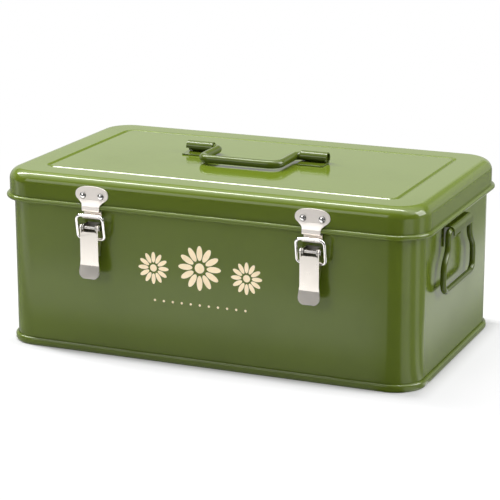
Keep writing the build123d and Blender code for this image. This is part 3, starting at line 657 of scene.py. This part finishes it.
def grown_mesh(tree, points, name, values, attributes=()):
    """Runs a geometry tree on bare points and gives back the mesh that it makes."""
    seeds = bpy.data.meshes.new(f"{name}_points")
    seeds.from_pydata(points, [], [])
    for label, numbers in attributes:
        layer = seeds.attributes.new(label, "FLOAT", "POINT")
        layer.data.foreach_set("value", numbers)
    maker = bpy.data.objects.new(f"{name}_maker", seeds)
    bpy.context.scene.collection.objects.link(maker)
    modifier = maker.modifiers.new("grown", "NODES")
    modifier.node_group = tree
    for item in tree.interface.items_tree:
        if item.in_out == "INPUT" and item.name in values:
            modifier[item.identifier] = values[item.name]
    graph = bpy.context.evaluated_depsgraph_get()
    data = bpy.data.meshes.new_from_object(maker.evaluated_get(graph))
    data.name = name
    maker.modifiers.remove(modifier)
    bpy.data.objects.remove(maker)
    return data


rivet_tree = make_rivet_tree()
rivet_steel = make_nickel(
    "rivet_steel", (0.90, 0.88, 0.86), (0.74, 0.71, 0.68), polish=0.07, stretch=0.6, bumps=0.1
)
steel_tree = rivet_steel.node_tree
steel_shader = steel_tree.nodes["Principled BSDF"]
# The steel turns near-black towards the foot of each dome, as painted shade
unshaded_steel = steel_shader.inputs["Base Color"].links[0].from_socket
rivet_foot_shade = put(steel_tree, "ShaderNodeAttribute", attribute_name="foot").outputs["Fac"]
painted_shade_steel = mix_colours(steel_tree, unshaded_steel, rivet_painted_shade, rivet_foot_shade)
feed(steel_tree, steel_shader, {"Base Color": painted_shade_steel})
rivet_sets = (
    ("bracket_rivets", "box", -1),
    ("catch_rivets", "lid", -1),
    ("hinge_body_rivets", "box", 1),
    ("hinge_lid_rivets", "lid", 1),
)
for side in ("left", "right"):
    for group, body, facing in rivet_sets:
        low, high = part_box(f"{group}_{side}")
        seat = high.y - rivet_head_height if facing > 0 else low.y + rivet_head_height
        first = Vector((low.x + rivet_head, seat, low.z + rivet_head))
        last = Vector((high.x - rivet_head, seat, high.z - rivet_head))
        data = grown_mesh(rivet_tree, [first, last], f"domed_{group}_{side}", {
            "Head Radius": rivet_head,
            "Head Height": rivet_head_height,
            "Tail Radius": rivet_tail,
            "Tail Height": rivet_tail_height,
            "Shank Radius": rivet_shank,
            "Grip": high.y - low.y - rivet_head_height - rivet_tail_height,
            "Turn": (math.radians(-90 * facing), 0.0, 0.0),
            "Plating": rivet_steel,
        })
        add_piece(data, data.name, rivet_steel, body, [f"{group}_{side}"])

# ---- Handles ----
# Thick round wire, bent to shape. The carry handle lies on the lid and turns in two rolled clips, spot
# welded to it. The drop handles hang on the ends of the box in one long clip each. All enamelled.
# The handle enamel, on the handles and their clips, is darkened all over as painted shade for the
# shadowed wires
handle_enamel = make_enamel(
    "handle_enamel", gloss=0.09, ripple_scale=700.0, ripple_strength=0.12, painted_shade_factor=0.66
)
finish_nodes(["top_handle", "end_handle_left", "end_handle_right"], handle_enamel)
handle_clip_edge = 0.0004
end_clip_edge = 0.0003
rolled_clips = (
    ("handle_clip", "rolled_clip", "lid", handle_clip_edge),
    ("end_clip", "rolled_end_clip", "box", end_clip_edge),
)
for side in ("left", "right"):
    for node_name, name, body, edge in rolled_clips:
        clip, rolled = f"{node_name}_{side}", f"{name}_{side}"
        softened_plate(clip, rolled, handle_enamel, body, edge)

# ---- Front print ----
# A cream garden motif screen printed on the front: three plain daisies over a row of sown dots.
# The ink stands a few hundredths of a millimetre proud of the enamel.
ink_thickness = 0.00006
print_middle = -0.0025
daisy_height = 0.083
daisies = ((-0.041, -0.004, 0.72), (0.0, 0.0, 1.0), (0.041, -0.004, 0.72))
petal_sides = 28
row_height = 0.052
row_half_length = 0.040
row_step = 0.008
row_dot = 0.0010
row_dot_sides = 24
ink_cream = (0.96, 0.80, 0.55, 1.0)
ink_thin = (0.88, 0.72, 0.46, 1.0)
ink_bumps = 0.2
ink_bump_depth = 0.00005


def make_daisy_tree():
    """Prints a daisy on each point: petals round an eye, sized by the point's own size."""
    lengths = ("Petal Length", "Petal Width", "Ring Radius", "Eye Radius", "Ink")
    inputs = {"Geometry": ("Points",), "Int": ("Petals",), "Float": lengths, "Material": ("Colour",)}
    tree, sizes = start_tree("print_daisies", "GeometryNodeTree", inputs, {"Geometry": ("Print",)})
    disc_sizes = {"Vertices": petal_sides, "Radius": 0.5, "Depth": 1.0}
    disc = put(tree, "GeometryNodeMeshCylinder", disc_sizes).outputs["Mesh"]
    petal_size = vector(tree, sizes["Petal Length"], sizes["Petal Width"], sizes["Ink"])
    petal = put(tree, "GeometryNodeTransform", {"Geometry": disc, "Scale": petal_size})
    ring_sizes = {"Vertices": sizes["Petals"], "Radius": sizes["Ring Radius"]}
    ring = put(tree, "GeometryNodeMeshCircle", ring_sizes)
    place = put(tree, "GeometryNodeInputPosition").outputs["Position"]
    outward = put(tree, "FunctionNodeAlignRotationToVector", {"Vector": place}, axis="X")
    petals = put(tree, "GeometryNodeInstanceOnPoints", {
        "Points": ring.outputs["Mesh"],
        "Instance": petal.outputs["Geometry"],
        "Rotation": outward.outputs["Rotation"],
    })
    across = reckon(tree, "MULTIPLY", sizes["Eye Radius"], 2.0)
    eye_size = vector(tree, across, across, sizes["Ink"])
    eye = put(tree, "GeometryNodeTransform", {"Geometry": disc, "Scale": eye_size})
    flower = put(tree, "GeometryNodeJoinGeometry")
    feed(tree, flower, {"Geometry": petals.outputs["Instances"]})
    feed(tree, flower, {"Geometry": eye.outputs["Geometry"]})
    own_size = put(tree, "GeometryNodeInputNamedAttribute", {"Name": "size"}, data_type="FLOAT")
    size = own_size.outputs["Attribute"]
    printed = put(tree, "GeometryNodeInstanceOnPoints", {
        "Points": sizes["Points"],
        "Instance": flower.outputs["Geometry"],
        "Rotation": (math.radians(90), 0.0, 0.0),
        "Scale": vector(tree, size, size, 1.0),
    })
    real = put(tree, "GeometryNodeRealizeInstances", {"Geometry": printed.outputs["Instances"]})
    inking = {"Geometry": real.outputs["Geometry"], "Material": sizes["Colour"]}
    inked = put(tree, "GeometryNodeSetMaterial", inking)
    put(tree, "NodeGroupOutput", {"Print": inked.outputs["Geometry"]})
    return tree


print_ink, ink_tree, ink_shader = new_material("print_ink")
ink_sizes = {"Gloss": 0.35, "Cloud Scale": 160.0}
ink_skin = put(ink_tree, "ShaderNodeGroup", ink_sizes, node_tree=spray_skin).outputs
feed(ink_tree, ink_shader, {
    "Base Color": mix_colours(ink_tree, ink_cream, ink_thin, ink_skin["Cloud"]),
    "Roughness": ink_skin["Roughness"],
    "Normal": bump(ink_tree, ink_skin["Height"], ink_bumps, ink_bump_depth),
})

ink_face = -wall_half_depth - ink_thickness / 2
daisy_sizes = {
    "Petals": 12,
    "Petal Length": 0.0125,
    "Petal Width": 0.0050,
    "Ring Radius": 0.0125,
    "Eye Radius": 0.0042,
    "Ink": ink_thickness,
    "Colour": print_ink,
}
daisy_spots = [(print_middle + x, ink_face, daisy_height + z) for x, z, size in daisies]
daisy_scales = [("size", [size for x, z, size in daisies])]
daisy_print = grown_mesh(make_daisy_tree(), daisy_spots, "daisy_print", daisy_sizes, daisy_scales)
add_piece(daisy_print, "daisy_print", print_ink, "box", [])

dot_row = bmesh.new()
dot_count = round(2 * row_half_length / row_step) + 1
dot_turn = 360 - 360 / row_dot_sides
for step in range(dot_count):
    middle = print_middle - row_half_length + step * row_step
    outlines = []
    for depth in (0.0, ink_thickness):
        dot = arc_points(middle, row_height, row_dot, 0, dot_turn, row_dot_sides - 1)
        outlines.append([(x, -wall_half_depth - depth, z) for x, z in dot])
    for ring in skin_loops(dot_row, outlines):
        dot_row.faces.new(ring)
add_piece(pressed_mesh(dot_row, "dot_print"), "dot_print", print_ink, "box", [])

# ---- Table, light and camera ----
# A pale sweep under soft light: a long softbox over the tin, a fill in front and one on the right. The
# polished surfaces see painted reflections, bright and dark patches that the floor shows only to
# reflections, then a darker room and a strip of light overhead.
floor_reach = 3.0
floor_grey = (0.57, 0.57, 0.575, 1.0)
bounce_grey = (0.50, 0.50, 0.50, 1.0)
shadow_patch = ((-0.40, 0.45), (-0.36, 0.36), 0.45)
shadow_share = 0.30
contact_patch = ((-0.187, 0.187), (-0.112, 0.112), 0.02)
contact_share = 0.6
# Patches and levels of the painted reflections that the floor shows only to polished surfaces
side_reflection_patch = ((0.208, 0.268), (-0.30, 0.62), 0.05)
least_painted_reflection = 0.08
dim_side_reflection = 0.30
floor_mesh = bpy.data.meshes.new("pale_floor")
floor_corners = [(-floor_reach, -floor_reach, 0), (floor_reach, -floor_reach, 0)]
floor_corners += [(floor_reach, floor_reach, 0), (-floor_reach, floor_reach, 0)]
floor_mesh.from_pydata(floor_corners, [], [(0, 1, 2, 3)])
pale_floor = bpy.data.objects.new("pale_floor", floor_mesh)
bpy.context.scene.collection.objects.link(pale_floor)


def make_paper_patch():
    """A soft-edged rectangle on the floor, as a mask."""
    usual = {"Low X": -1.0, "High X": 1.0, "Low Y": -1.0, "High Y": 1.0, "Blur": 0.05}
    tree, sizes = start_tree("paper_patch", "ShaderNodeTree", {"Float": usual}, {"Float": ("Mask",)})
    place = put(tree, "ShaderNodeTexCoord").outputs["Object"]
    spot = put(tree, "ShaderNodeSeparateXYZ", {"Vector": place}).outputs
    mask = 1.0
    for axis in ("X", "Y"):
        for end, way in (("Low", 1.0), ("High", -1.0)):
            beyond = reckon(tree, "SUBTRACT", spot[axis], sizes[f"{end} {axis}"])
            blurs = reckon(tree, "DIVIDE", beyond, sizes["Blur"])
            reach = {"Value": blurs, "From Min": -0.5 * way, "From Max": 0.5 * way}
            edge = put(tree, "ShaderNodeMapRange", reach, interpolation_type="SMOOTHSTEP")
            mask = reckon(tree, "MULTIPLY", mask, edge.outputs["Result"])
    put(tree, "NodeGroupOutput", {"Mask": mask})
    return tree


def mix_shaders(tree, share, first, second):
    """Mixes two shaders by a share from 0 to 1."""
    return put(tree, "ShaderNodeMixShader", {0: share, 1: first, 2: second}).outputs["Shader"]


def grey_ramp(tree, place, stops):
    """Greys at the given stops, and their blends between them."""
    ramp = put(tree, "ShaderNodeValToRGB", {"Fac": place})
    elements = ramp.color_ramp.elements
    while len(elements) < len(stops):
        elements.new(0.5)
    for element, (stop, grey) in zip(elements, stops):
        element.position = stop
        element.color = (grey, grey, grey, 1)
    return ramp.outputs["Color"]


paper_patch = make_paper_patch()
floor_paper = bpy.data.materials.new("floor_paper")
floor_paper.use_nodes = True
floor_tree = floor_paper.node_tree
floor_tree.nodes.clear()


def floor_patch(across, along, blur):
    """The mask of one patch of the floor: its reach across and along, and the blur of its edge."""
    sizes = dict(zip(("Low X", "High X", "Low Y", "High Y", "Blur"), (*across, *along, blur)))
    return put(floor_tree, "ShaderNodeGroup", sizes, node_tree=paper_patch).outputs["Mask"]


# The camera sees white, with a soft shadow all round the tin and a darker one close to its foot
shadow = reckon(floor_tree, "MULTIPLY", floor_patch(*shadow_patch), shadow_share)
contact = reckon(floor_tree, "MULTIPLY_ADD", floor_patch(*contact_patch), contact_share, shadow)
floor_white = put(floor_tree, "ShaderNodeEmission").outputs["Emission"]
floor_shaded = put(floor_tree, "ShaderNodeBsdfDiffuse", {"Color": floor_grey}).outputs["BSDF"]
seen = mix_shaders(floor_tree, reckon(floor_tree, "SUBTRACT", 1.0, contact), floor_shaded, floor_white)

# Polished surfaces see the floor glow only in their reflections, as painted reflections: a bright band
# in front that fades outwards, a bright patch on the right, and between them, by angle round the right
# corner, dark spans and narrow bright streaks
corner_turn = Vector((wall_half_width - wall_corner, wall_corner - wall_half_depth, 0.0))
floor_place = put(floor_tree, "ShaderNodeTexCoord").outputs["Object"]
floor_spot = put(floor_tree, "ShaderNodeSeparateXYZ", {"Vector": floor_place}).outputs
ahead = reckon(floor_tree, "MULTIPLY_ADD", floor_spot["Y"], -1.0, -wall_half_depth)
corner_places = {0: floor_place, 1: corner_turn}
from_corner = put(floor_tree, "ShaderNodeVectorMath", corner_places, operation="SUBTRACT")
corner_way = {"Vector": from_corner.outputs["Vector"]}
corner_gradient = put(floor_tree, "ShaderNodeTexGradient", corner_way, gradient_type="RADIAL")
round_corner = corner_gradient.outputs["Fac"]
painted_reflection_ahead = grey_ramp(floor_tree, ahead, (
    (0.0, 0.55), (0.06, 0.65), (0.12, 1.55), (0.20, 1.60), (0.265, 0.98), (0.42, 0.88), (0.47, 0.10),
))
front_share = grey_ramp(floor_tree, round_corner, ((0.0, 1.0), (0.19, 1.0), (0.225, 0.0)))
painted_corner_streaks = grey_ramp(floor_tree, round_corner, (
    (0.0, 0.0), (0.345, 0.0), (0.365, 1.2), (0.43, 1.5), (0.455, 0.45), (0.50, 0.45),
    (0.515, 1.6), (0.55, 1.2), (0.575, 0.3), (0.60, 0.3), (0.62, 0.0),
))
side_share = grey_ramp(floor_tree, round_corner, ((0.0, 0.0), (0.60, 0.0), (0.63, 1.0)))
side_look = {"Value": floor_patch(*side_reflection_patch), "To Min": dim_side_reflection}
painted_side_reflection = put(floor_tree, "ShaderNodeMapRange", side_look).outputs["Result"]
front_glow = reckon(floor_tree, "MULTIPLY_ADD", painted_reflection_ahead, front_share, painted_corner_streaks)
side_glow = reckon(floor_tree, "MULTIPLY_ADD", painted_side_reflection, side_share, front_glow)
painted_reflection_glow = reckon(floor_tree, "ADD", side_glow, least_painted_reflection)
painted_reflection = put(floor_tree, "ShaderNodeEmission", {"Strength": painted_reflection_glow}).outputs["Emission"]
bounced = put(floor_tree, "ShaderNodeBsdfDiffuse", {"Color": bounce_grey}).outputs["BSDF"]
floor_path = put(floor_tree, "ShaderNodeLightPath").outputs
unseen = mix_shaders(floor_tree, floor_path["Is Glossy Ray"], bounced, painted_reflection)
floor_look = mix_shaders(floor_tree, floor_path["Is Camera Ray"], unseen, seen)
put(floor_tree, "ShaderNodeOutputMaterial", {"Surface": floor_look})
floor_mesh.materials.append(floor_paper)

room_light_strength = 0.38
low_wall = (math.sin(math.radians(18.5)), 0.76)
high_wall = (math.sin(math.radians(21)), 0.28)
front_darkness = {"From Min": -0.25, "From Max": 0.15, "To Min": 0.10}
strip_height = {"From Min": 0.45, "From Max": 0.65}
studio = bpy.data.worlds.new("studio")
bpy.context.scene.world = studio
studio.use_nodes = True
room = studio.node_tree
room.nodes.clear()


def room_background(strength):
    """A plain white background of a given strength."""
    look = {"Color": (1, 1, 1, 1), "Strength": strength}
    return put(room, "ShaderNodeBackground", look).outputs["Background"]


def smooth_reach(place, reach):
    """A soft step over part of the room."""
    step = put(room, "ShaderNodeMapRange", {"Value": place, **reach}, interpolation_type="SMOOTHSTEP")
    return step.outputs["Result"]


# In the polish, the walls are light at their foot and dark above and in front, under the strip of light
room_place = put(room, "ShaderNodeTexCoord").outputs["Generated"]
room_spot = put(room, "ShaderNodeSeparateXYZ", {"Vector": room_place}).outputs
room_shade = grey_ramp(room, room_spot["Z"], (low_wall, high_wall))
room_front = smooth_reach(room_spot["Y"], front_darkness)
strip = grey_ramp(room, reckon(room, "MULTIPLY_ADD", room_spot["Y"], 0.5, 0.5), (
    (0.0, 0.0), (0.19, 0.0), (0.25, 1.44), (0.37, 1.76), (0.40, 4.0),
    (0.60, 4.0), (0.64, 2.08), (0.78, 1.28), (0.90, 0.0),
))
strip_glow = reckon(room, "MULTIPLY", strip, smooth_reach(room_spot["Z"], strip_height))
room_glow = reckon(room, "MULTIPLY_ADD", room_shade, room_front, strip_glow)
room_path = put(room, "ShaderNodeLightPath").outputs
room_light = room_background(room_light_strength)
room_unseen = mix_shaders(room, room_path["Is Glossy Ray"], room_light, room_background(room_glow))
room_look = mix_shaders(room, room_path["Is Camera Ray"], room_unseen, room_background(1.0))
put(room, "ShaderNodeOutputWorld", {"Surface": room_look})

tin_middle = Vector((0.0, 0.0, 0.08))
# Each with its place, width and height, watts, and whether the polish mirrors it
softboxes = (
    ("overhead_softbox", (-0.55, 0.08, 1.60), (0.17, 2.6), 42.0, True),
    ("overhead_fill", (-0.55, 0.08, 1.60), (0.17, 2.6), 38.0, False),
    ("right_softbox", (1.9, 0.5, 1.1), (1.2, 1.2), 38.0, True),
    ("front_softbox", (-0.9, -2.0, 1.0), (1.2, 0.9), 9.0, True),
    ("front_fill", (-0.9, -2.0, 1.0), (1.2, 0.9), 7.0, False),
)
for name, spot, (width, height), watts, shows in softboxes:
    light = bpy.data.lights.new(name, "AREA")
    light.shape = "RECTANGLE"
    light.size = width
    light.size_y = height
    light.energy = watts
    softbox = bpy.data.objects.new(name, light)
    bpy.context.scene.collection.objects.link(softbox)
    softbox.location = spot
    softbox.visible_glossy = shows
    softbox.rotation_euler = (tin_middle - softbox.location).to_track_quat("-Z", "Y").to_euler()

camera_turn = math.radians(22.719)
camera_rise = math.radians(15.058)
camera_distance = 1.692856
camera_aim = Vector((0.0, 0.0, 0.078))
lens_data = bpy.data.cameras.new("camera")
lens_data.lens = 143.34
lens_data.sensor_width = 36.0
lens_data.shift_x = -0.00577
lens_data.shift_y = -0.01304
camera = bpy.data.objects.new("camera", lens_data)
bpy.context.scene.collection.objects.link(camera)
back = Vector((
    math.sin(camera_turn) * math.cos(camera_rise),
    -math.cos(camera_turn) * math.cos(camera_rise),
    math.sin(camera_rise),
))
camera.location = camera_aim + back * camera_distance
camera.rotation_euler = (-back).to_track_quat("-Z", "Y").to_euler()
bpy.context.scene.camera = camera
bpy.context.scene.view_settings.view_transform = "Standard"
